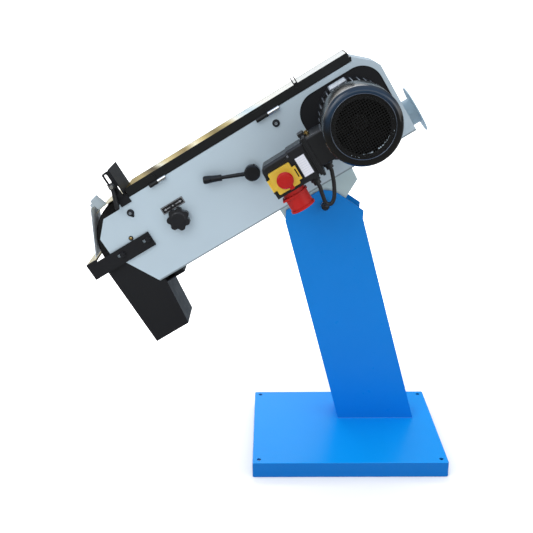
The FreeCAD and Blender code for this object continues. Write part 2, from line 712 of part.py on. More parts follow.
@head_piece
def guard_hinge_blocks():
    outline = [(-486, 295.5714)] + NOSE_BEND + [(-507, 291.3), (-514, 316), (-513.5, 323),
                                                (-496, 327)]
    block = fuse([prism(outline, 36, 55.9), cyl_y(GUARD_HINGE, 5, 36, 55.9),
                  cyl_y(GUARD_HINGE, GUARD_PIN_R, 36, 84)])
    return block.cut(prism([(-494.5, 318), (-510, 314.5), (-509, 335), (-494, 335)], 39.5, 52.5))


@head_piece
def front_guard():
    guard = fuse([strip([(-521.8, 307.4), (-526.5, 303.4), (-589.0, 189.6)], 1.5, 35, 147),
                  cyl_y(GUARD_HINGE, 5, 56.1, 84),
                  prism([(-516, 306), (-522.5, 305.5), (-521, 308.6), (-516, 312)], 56.1, 84)])
    return guard.cut(cyl_y(GUARD_HINGE, GUARD_PIN_R + RUN, 30, 150))


# ================================================================ tool rest, bolts
@head_piece
def tool_rest_arm():
    def slot(s, t):
        s0, s1, r = s - 13, s + 4, 4.3
        return fuse([box(s0, s1, 20, 30, t - r, t + r),
                     cyl_y((s0, t), r, 20, 30), cyl_y((s1, t), r, 20, 30)])

    arm = prism([(-619, 140), (-429, 140), (-429, 180), (-588, 180), (-592, 187), (-619, 187)],
                23, HOUSE_Y0)
    return cut(arm, [slot(*bolt) for bolt in REST_BOLTS])


@head_piece
def tool_rest_table():
    table = box(-619, -590, HOUSE_Y0, 147, 181, 187)
    return soften(table, 2, lambda e: along(e, Y_DIR) and e.BoundBox.ZMin > 186)


def house_bolt(at):
    head = turned([(0, 21.8), (5, 21.8), (7.2, 24), (7.2, 27.3), (0, 27.3)], at)
    bolt = fuse([cyl_y(at, 4, 24, 42), cyl_y(at, 9.5, 27.2, HOUSE_Y0), head])
    return bolt.cut(hex_y(at, 5, 20, 24.5))


def motor_bolt(at):
    return fuse([cyl_y(at, 5, 13.2, MOTOR_PLATE_Y), hex_y(at, 15, MOTOR_PLATE_Y, 47)])


def rest_bolt(at):
    return fuse([cyl_y(at, 4, 16, 38.8), ring_y(at, 8, 3, 21.4, 22.9),
                 hex_y(at, 13, 16.4, 21.4), hex_y(at, 13, NEAR_Y, 37.8)])


@head_piece
def panel_bolts():
    return ([house_bolt(at) for at in HOUSE_BOLTS] + [motor_bolt(at) for at in MOTOR_BOLTS]
            + [rest_bolt(at) for at in REST_BOLTS]
            + [ring_y(NOSE_SCREW, 6.4, 2.5, 28.2, HOUSE_Y0)])


# ================================================================ spark box, dust port
@head_piece
def spark_box():
    outer = [(-583, 166), (-581.5, -92), (-478.3, -91), (-463, 38), (-463, 48), (-473.5, 50),
             (-537.5, 166)]
    inner = [(-581, 190), (-579.5, -90), (-480.0, -89), (-465, 38), (-465, 70), (-490, 190)]
    shell = prism(outer, NEAR_Y, FAR_Y).cut(prism(inner, NEAR_Y + 2, FAR_Y - 2))
    shell = shell.cut(box(-579, -465, FAR_Y - 3, FAR_Y + 3, 60, 190))
    return fuse([shell, strip([(-464, 37), (-407, 37), (-407, 50)], 2, NEAR_Y, FAR_Y)])


@head_piece
def dust_port():
    return fuse([ring_x(PORT, PORT_R, PORT_BORE, END_S, 319),
                 ring_x(PORT, 61, PORT_BORE, 317.5, 320.5)])


# ================================================================ switch gear
SWITCH_Y = -100                        # near face of the switch housing
START, STOP, MUSHROOM = (-59.0, 141.0), (-36.0, 141.0), (-39, 141)
FLAP_HINGE = (-77.5, -104.5)           # (s, y), axis along t


@head_piece
def switch_housing():
    outline = [(-80, 103), (-80, 177), (-77, 184), (-70, 190), (-8, 191), (-6, 193.5),
               (34, 194), (34, 103)]
    body = prism(outline, SWITCH_Y, -42)
    # the chamfer on the near top edges is left off if the kernel cannot make it
    try:
        body = body.makeChamfer(5, [
            e for e in body.Edges if near(e.BoundBox.YMin, SWITCH_Y, 1e-4)
            and near(e.BoundBox.YMax, SWITCH_Y, 1e-4) and e.BoundBox.ZMin > 176])
    except Exception:
        pass
    body = body.cut(prism([(-77, 106), (-77, 176), (-69, 184), (31, 185), (31, 106)], -94, -40))
    body = cut(body, [cyl_y(START, 8.3, -110, -90), cyl_y(STOP, 9.3, -110, -90)])
    s, y = FLAP_HINGE
    ears = [fuse([cyl_z(FLAP_HINGE, 3.2, t0, t1), box(s - 2.5, s + 2.5, y, -99, t0, t1)])
            for t0, t1 in ((119, 124.4), (156.6, 162))]
    return fuse([body, prism(outline, -42, -40)] + ears + [cyl_z(FLAP_HINGE, 1.35, 120, 161)])


@head_piece
def blank_labels():
    return [box(3, 28, SWITCH_Y - 0.6, SWITCH_Y, 117, 168), box(157, 198, -78, -2, 261, 261.8)]


@head_piece
def flap_cover():
    flap = soften(box(-70, -12, -113, -101.5, 113, 170), 3, lambda e: along(e, Y_DIR))
    flap = flap.cut(box(-68, -14, -111, -100, 115, 168))
    tab = box(-12.5, -3, -113, -110.5, 121, 157).cut(box(-9.2, -6.0, -115, -108, 128, 150))
    knuckle = fuse([cyl_z(FLAP_HINGE, 3.2, 124.6, 156.4),
                    box(FLAP_HINGE[0], -69.5, -106.6, -102.6, 124.6, 156.4)])
    return cut(fuse([flap, tab, knuckle]), [cyl_z(FLAP_HINGE, 1.5 + RUN, 120, 160),
                                            cyl_y(MUSHROOM, 6.05, -120, -105)])


@head_piece
def stop_mushroom():
    head = turned([(0, -107.5), (6, -107.5), (6, -128), (19, -128), (20.5, -130), (20.5, -134),
                   (17, -138), (10, -139.4), (0, -139.8)], MUSHROOM)
    return fuse([head, box(-39, -28, -133, -128.5, 114, 128)])


@head_piece
def start_button():
    return fuse([cyl_y(START, 8, -102.5, -92), cyl_y(START, 9.5, -92, -90)])


@head_piece
def stop_button():
    return fuse([cyl_y(STOP, 9, -103, -92), cyl_y(STOP, 10.5, -92, -90)])


# ================================================================ terminal box, cables
LID_SCREW = (57, -70)                  # (s, y)


@head_piece
def terminal_box():
    body = soften(box(50, 90, -108, -14, 119, 198), 5, lambda e: along(e, X_DIR))
    return body.cut(box(44, 86, -104, -18, 123, 194)).cut(cyl_z(LID_SCREW, 4, 190, 230))


@head_piece
def terminal_lid():
    rim = soften(box(43, 50, -110, -12, 98, 205), 5, lambda e: along(e, X_DIR))
    return fuse([rim, box(37.5, 43, -106, -16, 102, 201), box(34, 38, -98, -44, 106, 190),
                 box(36, 50, -84, -52, 203, 211)])


@head_piece
def brass_screws():
    """Upright lid screw, and the slotted screw near the nose."""
    nose = fuse([cyl_y(NOSE_SCREW, 2.5, 27, 38), turned(
        [(0, 26.2), (2.4, 26.2), (3.6, 27.2), (3.6, 28.2), (0, 28.2)], NOSE_SCREW)])
    nose = nose.cut(box(-480.5, -473.5, 25, 27, 186.4, 187.6))
    return [fuse([cyl_z(LID_SCREW, 4, 198, 209), cyl_z(LID_SCREW, 6.5, 199, 204)]), nose]


MOTOR_GLAND, SWITCH_GLAND = (64.0, -60.0), (19.5, -70.0)   # (s, y)
CABLE_R = 5.0


def gland(at, top):
    nut = prism([polar((at[0], 0), 12.4, 60 * k) for k in range(6)], 0, 7)
    nut.rotate(V(0, 0, 0), X_DIR, 90)
    nut.translate(V(0, at[1], top - 13))
    body = fuse([cyl_z(at, 11.8, top - 4, top), cyl_z(at, 9.5, top - 22, top), nut])
    return body.cut(cyl_z(at, CABLE_R + 0.3, top - 23, top - 3))


@head_piece
def cable_glands():
    return [gland(MOTOR_GLAND, 119), gland(SWITCH_GLAND, 103)]


@head_piece
def motor_cable():
    # (s, y, t) from the motor's gland down and back up to the switch's
    path = [V(*MOTOR_GLAND, 95), V(61.5, -60.3, 84), V(54.2, -61, 64), V(43.5, -62, 42),
            V(30.5, -63, 24.5), V(20.0, -64.5, 20.2), V(12.8, -66, 26.5), V(13.2, -68, 43),
            V(17.2, -69.4, 62), V(*SWITCH_GLAND, 79)]
    down = V(0, 0, -1)
    curve = Part.BSplineCurve()
    curve.interpolate(path, InitialTangent=down, FinalTangent=Z_DIR)
    section = Part.Wire(Part.makeCircle(CABLE_R, path[0], down))
    cable = Part.Wire(curve.toShape()).makePipeShell([section], True, False)
    return fuse([cable, cyl_z(MOTOR_GLAND, CABLE_R, 95, 116),
                 cyl_z(SWITCH_GLAND, CABLE_R, 79, 100)])


@head_piece
def power_inlet():
    axis = (-40, -71)
    shroud = fuse([cyl_z(axis, 29.6, 50, 92), cyl_z(axis, 32.2, 50, 55),
                   cyl_z(axis, 32.6, 88, 92.5), box(-73.5, -36, -103.5, -60, 89, 93)])
    shroud = shroud.cut(cyl_z(axis, 27.4, 40, 88))
    pins = [cyl_z(polar(axis, 17, 72 * k + 90), 3.4 if k else 4.2, 58, 89) for k in range(5)]
    return fuse([cyl_z(axis, 29, 88, 103), shroud] + pins)
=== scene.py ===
# A belt grinding machine: a blue base plate and column carry a tilted head, with the contact
# wheel at its low end, the motor at its high end and the abrasive belt between them.
# World frame in metres: the camera looks along +Y, so -Y is the near side, +X the right, +Z up.
# The CAD pieces get edges and materials here; three small turned parts are added to the head.
import math

import bmesh
import bpy
from mathutils import Matrix, Vector


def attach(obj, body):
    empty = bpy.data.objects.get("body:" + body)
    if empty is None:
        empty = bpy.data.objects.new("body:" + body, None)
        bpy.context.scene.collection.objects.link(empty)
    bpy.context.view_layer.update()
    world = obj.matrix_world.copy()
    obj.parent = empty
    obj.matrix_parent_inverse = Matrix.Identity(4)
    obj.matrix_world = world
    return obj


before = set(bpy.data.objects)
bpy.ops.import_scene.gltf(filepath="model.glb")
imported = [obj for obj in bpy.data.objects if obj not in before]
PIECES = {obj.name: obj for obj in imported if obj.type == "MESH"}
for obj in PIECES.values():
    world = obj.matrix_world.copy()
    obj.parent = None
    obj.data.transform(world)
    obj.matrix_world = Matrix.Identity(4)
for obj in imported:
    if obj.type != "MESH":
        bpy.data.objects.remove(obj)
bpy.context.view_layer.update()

scene = bpy.context.scene

# ---------------------------------------------------------------- head frame
# Head coordinates are millimetres from the pivot: "along" climbs towards +X, "rise" is
# square to it in the XZ plane, and y is the world's own.
TILT = math.radians(30.9)
COS, SIN = math.cos(TILT), math.sin(TILT)
PIVOT = (-0.060, 0.6555)        # world x, z in metres

# Places as (along, rise)
WHEEL_AXIS = (-457.0, 173.0)
MOTOR_AXIS = (178.0, 173.0)
PILOT_LAMP = (-8.0, 181.3)
TOOL_REST_SCREWS = ((-439.5, 244.5), (1.0, 247.0))
CLAMP_AXIS = (-438.0, 327.0)
DIRECTION_LABEL = (-335.5, 204.0)

LID_FAR = 151.0                 # y of the lid's far edge
LID_END = 236.0                 # along, at the motor end of the lid


def head_point(along, y, rise):
    """Head millimetres to world metres."""
    return Vector((PIVOT[0] + (along * COS - rise * SIN) / 1000, y / 1000,
                   PIVOT[1] + (along * SIN + rise * COS) / 1000))


# ---------------------------------------------------------------- shader building
SURFACE_SOCKETS = {
    "color": "Base Color", "roughness": "Roughness", "normal": "Normal",
    "metallic": "Metallic", "specular": "Specular IOR Level",
    "specular_tint": "Specular Tint", "coat_roughness": "Coat Roughness",
    "subsurface": "Subsurface Weight", "subsurface_radius": "Subsurface Radius",
    "emission_color": "Emission Color", "emission": "Emission Strength",
}


class Net:
    """Short calls that build a node tree; any input may be a socket or a plain value."""

    def __init__(self, tree):
        self.tree = tree

    def add(self, kind, inputs={}, **settings):
        node = self.tree.nodes.new(kind)
        node.location = (-10 * len(self.tree.nodes), 0)
        for key, value in settings.items():
            setattr(node, key, value)
        for key, value in inputs.items():
            self.put(node.inputs[key], value)
        return node

    def put(self, socket, value):
        if isinstance(value, bpy.types.NodeSocket):
            self.tree.links.new(value, socket)
        elif value is not None:
            if socket.type == "RGBA" and len(value) == 3:
                value = (*value, 1)
            socket.default_value = value

    def surface(self, **values):
        """Set inputs of the material's Principled shader."""
        shader = self.tree.nodes["Principled BSDF"]
        for key, value in values.items():
            self.put(shader.inputs[SURFACE_SOCKETS[key]], value)

    # arithmetic
    def math(self, operation, a, b=None, clamp=False):
        node = self.add("ShaderNodeMath", {0: a, 1: b}, operation=operation, use_clamp=clamp)
        return node.outputs[0]

    def plus(self, a, b, clamp=False):
        return self.math("ADD", a, b, clamp)

    def minus(self, a, b):
        return self.math("SUBTRACT", a, b)

    def times(self, first, *others):
        for other in others:
            first = self.math("MULTIPLY", first, other)
        return first

    def invert(self, value):
        return self.minus(1.0, value)

    def above(self, value, limit):
        return self.math("GREATER_THAN", value, limit)

    def below(self, value, limit):
        return self.math("LESS_THAN", value, limit)

    def between(self, value, low, high):
        return self.times(self.above(value, low), self.below(value, high))

    def sum_squares(self, a, b):
        return self.plus(self.times(a, a), self.times(b, b))

    def hypot(self, a, b):
        return self.math("SQRT", self.sum_squares(a, b))

    def remap(self, value, source, target=(0.0, 1.0), smooth=False):
        """Carry the source span onto the target span, held at both ends."""
        inputs = dict(enumerate((value, *source, *target)))
        kind = "SMOOTHSTEP" if smooth else "LINEAR"
        return self.add("ShaderNodeMapRange", inputs, interpolation_type=kind).outputs[0]

    def spread(self, noise, low=0.0, high=1.0):
        """Stretch the middle of a noise over low to high."""
        return self.remap(noise, (0.3, 0.7), (low, high))

    # vectors and places
    def separate(self, vector):
        return self.add("ShaderNodeSeparateXYZ", {0: vector}).outputs

    def combine(self, x, y, z=None):
        return self.add("ShaderNodeCombineXYZ", {0: x, 1: y, 2: z}).outputs[0]

    def scaled(self, vector, factors):
        inputs = {0: vector, 1: factors}
        return self.add("ShaderNodeVectorMath", inputs, operation="MULTIPLY").outputs[0]

    def coords(self):
        return self.add("ShaderNodeTexCoord").outputs["Object"]

    def face_normal(self):
        return self.separate(self.add("ShaderNodeNewGeometry").outputs["Normal"])

    def head(self, axes="along y rise"):
        """The named head coordinates of the shaded point, in millimetres."""
        x, y, z = self.separate(self.coords())
        dx = self.minus(x, PIVOT[0])
        dz = self.minus(z, PIVOT[1])
        makers = {
            "along": lambda: self.plus(self.times(dx, COS * 1000), self.times(dz, SIN * 1000)),
            "y": lambda: self.times(y, 1000),
            "rise": lambda: self.minus(self.times(dz, COS * 1000), self.times(dx, SIN * 1000)),
        }
        return [makers[axis]() for axis in axes.split()]

    def offset(self, along, rise, centre):
        return self.minus(along, centre[0]), self.minus(rise, centre[1])

    def radius(self, along, rise, centre):
        return self.hypot(*self.offset(along, rise, centre))

    # textures and colours
    def noise(self, scale, detail=2.0, roughness=0.5, vector=None):
        """Noise over the given vector, or over object coordinates."""
        vector = self.coords() if vector is None else vector
        inputs = {"Vector": vector, "Scale": scale, "Detail": detail, "Roughness": roughness}
        return self.add("ShaderNodeTexNoise", inputs).outputs[0]

    def mix(self, factor, a, b, blend="MIX"):
        inputs = {0: factor, 6: a, 7: b}
        return self.add("ShaderNodeMix", inputs, data_type="RGBA", blend_type=blend).outputs[2]

    def mottle(self, noise, first, second):
        """Two colours mixed by a noise."""
        return self.mix(self.spread(noise), first, second)

    def vary(self, noise, color, low, high):
        """One colour, made darker and brighter by a noise."""
        return self.mottle(noise, brighten(color, low), brighten(color, high))

    def bump(self, height, strength, distance, normal=None):
        inputs = {"Strength": strength, "Distance": distance, "Height": height, "Normal": normal}
        return self.add("ShaderNodeBump", inputs).outputs[0]

    def ramp(self, factor, stops):
        """Colour ramp; stops are (position, colour)."""
        node = self.add("ShaderNodeValToRGB", {0: factor})
        elements = node.color_ramp.elements
        while len(elements) > 1:
            elements.remove(elements[-1])
        elements[0].position = stops[0][0]
        elements[0].color = (*stops[0][1], 1)
        for position, color in stops[1:]:
            elements.new(position).color = (*color, 1)
        return node.outputs[0]


MATERIALS = {}


def material_net(name):
    """Start a material, list it under its name and return its node tree."""
    material = bpy.data.materials.new(name)
    material.use_nodes = True
    MATERIALS[name] = material
    return Net(material.node_tree)


def brighten(color, factor):
    return tuple(min(1.0, x * factor) for x in color)


def srgb(*levels):
    """0-255 display levels to linear colour."""
    return tuple(((v / 255 + 0.055) / 1.055) ** 2.4 if v > 10 else v / 255 / 12.92
                 for v in levels)


# ---------------------------------------------------------------- material families
# specular, bump and peel are strengths; cloud is the share by which the colour drifts.
def powder(name, color, roughness, peel, specular, cloud, wear=0.06, scatter=1.0, shade=None):
    """Sprayed or powder-coated steel: orange-peel skin, faint clouds, handling marks."""
    net = material_net(name)
    place = net.coords()
    clouds = net.noise(scale=6.0, detail=3.0, vector=place)
    skin = net.vary(clouds, color, 1 - cloud, 1 + cloud)
    rub = net.noise(scale=38.0, detail=5.0, roughness=0.65, vector=place)
    worn = net.times(net.remap(rub, (0.60, 0.75)), wear)
    skin = net.mix(worn, skin, brighten(color, 1.25))
    if shade is not None:
        skin = shade(net, skin)
    fine = net.noise(scale=620.0, detail=1.5, vector=place)
    net.surface(
        color=skin, specular=specular, coat_roughness=0.18,
        roughness=net.spread(rub, roughness - 0.05 * scatter, roughness + 0.07 * scatter),
        normal=net.bump(fine, strength=peel, distance=0.0006))


def metal(name, color, roughness, stretch, painted_reflection=None, blotch=None):
    """Rolled, ground or plated metal; stretch is the grain's scale along, y and rise."""
    net = material_net(name)
    along, y, rise = net.head()
    vector = net.scaled(net.combine(along, y, rise), tuple(k / 1000 for k in stretch))
    grain = net.noise(scale=1.0, detail=3.0, roughness=0.6, vector=vector)
    skin = net.vary(grain, color, 1 - 0.06, 1 + 0.06)
    # Painted reflections, when given, go into both the colour and the specular colour.
    if painted_reflection is not None:
        skin = painted_reflection(net, skin, along, y)
        deep = net.mix(1.0, skin, skin, "MULTIPLY")
        net.surface(specular_tint=net.mix(0.75, skin, deep))
    if blotch is not None:
        patches = net.remap(net.noise(scale=22.0, detail=4.0, roughness=0.6), (0.45, 0.7))
        skin = net.mix(net.times(patches, 0.6), skin, blotch)
    net.surface(
        color=skin, metallic=1.0,
        roughness=net.spread(grain, roughness - 0.06, roughness + 0.10),
        normal=net.bump(grain, strength=0.05, distance=0.0004))


def turned(name, color, axis, roughness, pitch=1.6, painted_shade_y=None):
    """Lathe-turned part: tool marks round a Y axis, with painted shade on the near side of
    painted_shade_y.
    """
    net = material_net(name)
    along, y, rise = net.head()
    vector = net.combine(net.radius(along, rise, axis), y)
    rings = net.noise(scale=1.0 / pitch * 3.0, vector=vector)
    skin = net.vary(rings, color, 0.92, 1.06)
    if painted_shade_y is not None:
        # Painted shade: near black where the shaft runs inside the fan cover.
        skin = net.mix(net.below(y, painted_shade_y), skin, (0.035, 0.035, 0.038))
    smears = net.noise(scale=30.0, detail=4.0)
    net.surface(
        color=skin, metallic=1.0,
        roughness=net.spread(smears, roughness - 0.05, roughness + 0.1),
        normal=net.bump(rings, strength=0.12, distance=0.0004))


def moulded(name, color, roughness, bump=0.10, specular=0.5, subsurface=0.0, cloud=0.05):
    """Moulded plastic with a spark-eroded skin."""
    net = material_net(name)
    place = net.coords()
    clouds = net.noise(scale=14.0, detail=3.0, vector=place)
    smears = net.noise(scale=55.0, detail=4.0, roughness=0.6, vector=place)
    fine = net.noise(scale=1400.0, detail=1.0, vector=place)
    net.surface(
        color=net.vary(clouds, color, 1 - cloud, 1 + cloud), specular=specular,
        roughness=net.spread(smears, roughness - 0.05, roughness + 0.08),
        normal=net.bump(fine, strength=bump, distance=0.0004))
    if subsurface:
        net.surface(subsurface=subsurface, subsurface_radius=(0.003, 0.0015, 0.001))


def cast(name, color, roughness, bump, specular=0.4):
    """Painted casting: pebbled skin under the paint."""
    net = material_net(name)
    place = net.coords()
    pebbles = net.noise(scale=330.0, detail=3.0, roughness=0.6, vector=place)
    clouds = net.noise(scale=18.0, detail=4.0, vector=place)
    net.surface(
        color=net.vary(clouds, color, 0.85, 1.2), specular=specular,
        roughness=net.spread(pebbles, roughness - 0.08, roughness + 0.1),
        normal=net.bump(pebbles, strength=bump, distance=0.0007))


def galvanised(name, dark, pale, metallic):
    """Dull, pale blue-grey sheet with soft streaks."""
    net = material_net(name)
    vector = net.scaled(net.combine(*net.head()), (0.012, 0.16, 0.012))
    streaks = net.noise(scale=1.0, detail=3.0, roughness=0.6, vector=vector)
    net.surface(
        color=net.mottle(streaks, dark, pale), metallic=metallic,
        roughness=net.spread(net.noise(scale=60.0, detail=3.0), 0.30, 0.44))


# ---------------------------------------------------------------- local shades
def column_shade(net, color):
    """Painted light: brighter and bluer towards the floor, darker up under the head, with a
    painted highlight line round the bottom of the column; heights in metres.
    """
    z = net.separate(net.coords())[2]
    # Painted shade: the colour is darker towards the top, where the head shades the column.
    low = net.remap(z, (0.02, 0.66), (1.0, 0.0))
    color = net.mix(net.times(low, 0.22), color, (0.002, 0.215, 0.98))
    # Painted highlight: a pale line where the column meets the base.
    foot_highlight = net.invert(net.remap(z, (0.0405, 0.0432)))
    return net.mix(net.times(foot_highlight, 0.55), color, (0.16, 0.46, 0.95))


def panel_shade(net, color):
    """The lower folded edge of the panel catches no light and reads as a dark line."""
    [rise] = net.head("rise")
    fold = net.invert(net.remap(rise, (52.6, 54.6)))
    return net.mix(net.times(fold, 0.72), color, (0.12, 0.15, 0.16))


def base_shade(net, color):
    """Painted shade: the side faces of the base are darker than its top, which is painted as lit
    from above.
    """
    facing_up = net.remap(net.face_normal()[2], (0.3, 0.8))
    return net.mix(facing_up, (0.0012, 0.165, 0.565), color)


def cover_sky_reflection(net, color):
    """Painted reflection: the upper shoulder of the fan cover is painted bluer, standing in for
    the sky it reflects.
    """
    along, y, rise = net.head()
    offset_along, offset_rise = net.offset(along, rise, MOTOR_AXIS)
    radius = net.hypot(offset_along, offset_rise)
    upper = net.plus(net.times(offset_along, 0.245), net.times(offset_rise, 0.969))
    upper = net.math("DIVIDE", upper, net.math("MAXIMUM", radius, 1.0))
    # Painted sky reflection on the upper shoulder, fading towards the rim and towards the back.
    sky_reflection = net.times(
        net.remap(upper, (-0.02, 0.72), smooth=True),
        net.remap(radius, (73.8, 74.6)),
        net.remap(radius, (82.0, 89.0), (1.0, 0.25)),
        net.remap(y, (-216.0, -205.0), (1.0, 0.0)))
    return net.mix(sky_reflection, color, (0.013, 0.031, 0.060))


# Painted reflections of the surroundings on the lid, as (place from the low end to the high end
# of the lid, colour)
LID_REFLECTION_BANDS = [
    (0.0, (0.58, 0.49, 0.26)), (0.10, (0.76, 0.67, 0.42)), (0.165, (0.30, 0.24, 0.11)),
    (0.20, (1.0, 0.99, 0.93)), (0.25, (0.88, 0.80, 0.56)), (0.34, (0.56, 0.48, 0.26)),
    (0.395, (1.0, 0.98, 0.88)), (0.44, (0.80, 0.72, 0.46)), (0.51, (0.46, 0.40, 0.19)),
    (0.57, (0.70, 0.64, 0.40)), (0.62, (0.96, 0.97, 0.97)), (0.69, (0.76, 0.87, 0.96)),
    (0.76, (0.94, 0.955, 0.97)), (0.90, (0.91, 0.935, 0.96)), (1.0, (0.86, 0.89, 0.93)),
]


def lid_painted_reflection(net, color, along, y):
    """Painted reflections: tan and white bands, white towards the motor, and a dark edge strip
    that is partly a folded edge and partly painted edge shade.
    """
    place = net.remap(along, (-430.0, 120.0))
    place = net.plus(place, net.remap(y, (30.0, 150.0), (-0.025, 0.025)))   # slant
    wave = net.spread(net.noise(scale=14.0, detail=3.0), -0.008, 0.008)
    place = net.plus(place, wave, clamp=True)
    # Painted reflections of the surroundings, laid on as bands.
    color = net.mix(0.92, color, net.ramp(place, LID_REFLECTION_BANDS))
    # Dark strip along the far edge and the motor end: partly the sheet's folded edge, partly
    # painted edge shade.
    hem_and_edge_shade = net.math("MAXIMUM",
                   net.remap(y, (LID_FAR - 9.5, LID_FAR - 8.5)),
                   net.remap(along, (LID_END - 3.0, LID_END - 2.0)))
    return net.mix(net.times(hem_and_edge_shade, 0.90), color, (0.08, 0.085, 0.095))


# ---------------------------------------------------------------- single materials
def fin_casting():
    """Finned motor casting: black paint with a painted highlight along the tips of the fins."""
    net = material_net("motor_fin_casting")
    radius = net.radius(*net.head("along rise"), MOTOR_AXIS)
    patches = net.remap(net.noise(scale=45.0, detail=3.0), (0.35, 0.65), (0.2, 1.0))
    # Painted highlight on the outer edges of the fins, broken up in patches.
    fin_tip_highlight = net.times(net.remap(radius, (85.2, 86.6)), patches)
    pebbles = net.noise(scale=330.0, detail=3.0, roughness=0.6)
    clouds = net.noise(scale=18.0, detail=4.0)
    paint = net.mottle(clouds, srgb(25, 27, 31), srgb(34, 36, 40))
    net.surface(
        color=net.mix(net.times(fin_tip_highlight, 0.75), paint, (0.30, 0.35, 0.42)), specular=0.40,
        roughness=net.spread(pebbles, 0.34, 0.50),
        normal=net.bump(pebbles, strength=0.16, distance=0.0006))


def wheel_rubber():
    """Tyre rubber, with slanted grooves round the tread drawn as a bump."""
    net = material_net("wheel_rubber")
    along, y, rise = net.head()
    offset_along, offset_rise = net.offset(along, rise, WHEEL_AXIS)
    angle = net.math("ARCTAN2", offset_rise, offset_along)
    wave = net.math("SINE", net.plus(net.times(angle, 60.0), net.times(y, 0.16)))
    tread = net.remap(wave, (-0.86, -0.70))
    fine = net.noise(scale=420.0)
    clouds = net.noise(scale=30.0, detail=4.0)
    skin = net.bump(fine, strength=0.12, distance=0.0006)
    net.surface(
        color=net.mottle(clouds, srgb(24, 24, 26), srgb(36, 36, 38)), specular=0.30,
        roughness=net.spread(fine, 0.58, 0.74),
        normal=net.bump(tread, strength=0.35, distance=0.0012, normal=skin))


def abrasive_grit():
    """Brown grit with pale specks; the belt's edges, facing along Y, are dark."""
    net = material_net("abrasive_grit")
    place = net.coords()
    cells = {"Vector": place, "Scale": 2200.0}
    grit = net.add("ShaderNodeTexVoronoi", cells).outputs[0]
    specks = net.noise(scale=900.0, detail=3.0, roughness=0.7, vector=place)
    color = net.mix(net.remap(grit, (0.1, 0.6)), srgb(112, 84, 62), srgb(58, 42, 32))
    color = net.mix(net.remap(specks, (0.55, 0.75)), color, srgb(150, 128, 104))
    edge = net.above(net.math("ABSOLUTE", net.face_normal()[1]), 0.7)
    grains = net.bump(grit, strength=0.7, distance=0.0005)
    net.surface(
        color=net.mix(edge, color, srgb(28, 26, 26)), roughness=0.82, specular=0.35,
        normal=net.bump(specks, strength=0.3, distance=0.0004, normal=grains))


def graphite_cloth():
    net = material_net("graphite_cloth")
    weave = net.times(*[net.math("SINE", net.times(v, 5.2)) for v in net.head("along y")])
    color = net.mix(net.remap(weave, (-1.0, 1.0)), (0.02, 0.02, 0.022), (0.055, 0.055, 0.06))
    net.surface(color=color, roughness=0.5,
                normal=net.bump(weave, strength=0.4, distance=0.0003))


def blank_labels():
    """Blank labels: a ruled white one on the switch box, a brushed silver one on the motor."""
    net = material_net("blank_label_sheet")
    along, y, rise = net.head()
    on_motor = net.above(along, 100.0)
    across = net.remap(along, (3.0, 28.0))
    height = net.remap(rise, (117.0, 168.0))
    rule = net.below(net.math("FRACT", net.times(height, 9.0)), 0.10)
    rule = net.times(rule, net.between(across, 0.10, 0.90), net.between(height, 0.10, 0.93))
    middle = net.times(net.between(across, 0.045, 0.955), net.between(height, 0.022, 0.978))
    edge = net.invert(middle)
    paper = net.mix(net.times(rule, 0.55), srgb(236, 238, 248), srgb(150, 165, 200))
    paper = net.mix(net.times(edge, 0.7), paper, srgb(205, 212, 228))
    vector = net.scaled(net.combine(along, y, rise), (0.9, 0.02, 0.9))
    grain = net.noise(scale=1.0, detail=3.0, vector=vector)
    plate = net.mottle(grain, (0.62, 0.66, 0.72), (0.82, 0.85, 0.90))
    net.surface(
        color=net.mix(on_motor, paper, plate), metallic=net.times(on_motor, 0.85),
        roughness=net.spread(net.noise(scale=60.0, detail=3.0), 0.28, 0.42))


def direction_label():
    """Black label: a thin border, an arrowhead and bar at each end, a dot in the middle."""
    net = material_net("direction_label")
    along, rise = net.offset(*net.head("along rise"), DIRECTION_LABEL)
    out, up = net.math("ABSOLUTE", along), net.math("ABSOLUTE", rise)

    def box(half_length, half_height):
        return net.times(net.below(out, half_length), net.below(up, half_height))

    ring = net.minus(box(31.2, 8.2), box(30.4, 7.4))
    slope = net.times(net.minus(26.5, out), 0.50)       # arrowhead, half height at each place
    tip = net.times(net.above(out, 20.5), net.below(up, slope))
    bar = net.times(net.between(out, 8.0, 21.0), net.below(up, 0.7))
    dot = net.below(net.sum_squares(along, rise), 4.0)
    mark = net.plus(net.plus(ring, tip), net.plus(bar, dot), clamp=True)
    grain = net.noise(scale=300.0, detail=3.0)
    ground = net.mottle(grain, srgb(24, 24, 27), srgb(34, 34, 38))
    net.surface(
        color=net.mix(net.times(mark, 0.75), ground, srgb(196, 200, 205)),
        roughness=net.spread(grain, 0.34, 0.46), specular=0.35)


def black_screws():
    """Black oxide screws; the two tool-rest screws show bare tips."""
    net = material_net("black_oxide_screws")
    fine = net.noise(scale=500.0)
    along, rise = net.head("along rise")
    tips = net.math("MAXIMUM", *[net.below(net.radius(along, rise, centre), 3.7)
                                 for centre in TOOL_REST_SCREWS])
    oxide = net.mottle(fine, srgb(30, 31, 35), srgb(46, 48, 54))
    net.surface(
        color=net.mix(tips, oxide, srgb(150, 160, 168)), metallic=0.45,
        roughness=net.spread(fine, 0.32, 0.46),
        normal=net.bump(fine, strength=0.08, distance=0.0004))


def clamp_lever():
    """Black moulded arm, with a plated screw end showing in the hub."""
    net = material_net("clamp_lever_plastic")
    along, y, rise = net.head()
    radius = net.radius(along, rise, CLAMP_AXIS)
    screw = net.times(net.below(radius, 4.9), net.below(y, 8.2))
    fine = net.noise(scale=300.0)
    plastic = net.mottle(fine, srgb(30, 31, 34), srgb(38, 40, 44))
    net.surface(
        color=net.mix(screw, plastic, (0.62, 0.64, 0.66)), metallic=screw, specular=0.4,
        roughness=net.spread(fine, 0.28, 0.40),
        normal=net.bump(fine, strength=0.08, distance=0.0004))


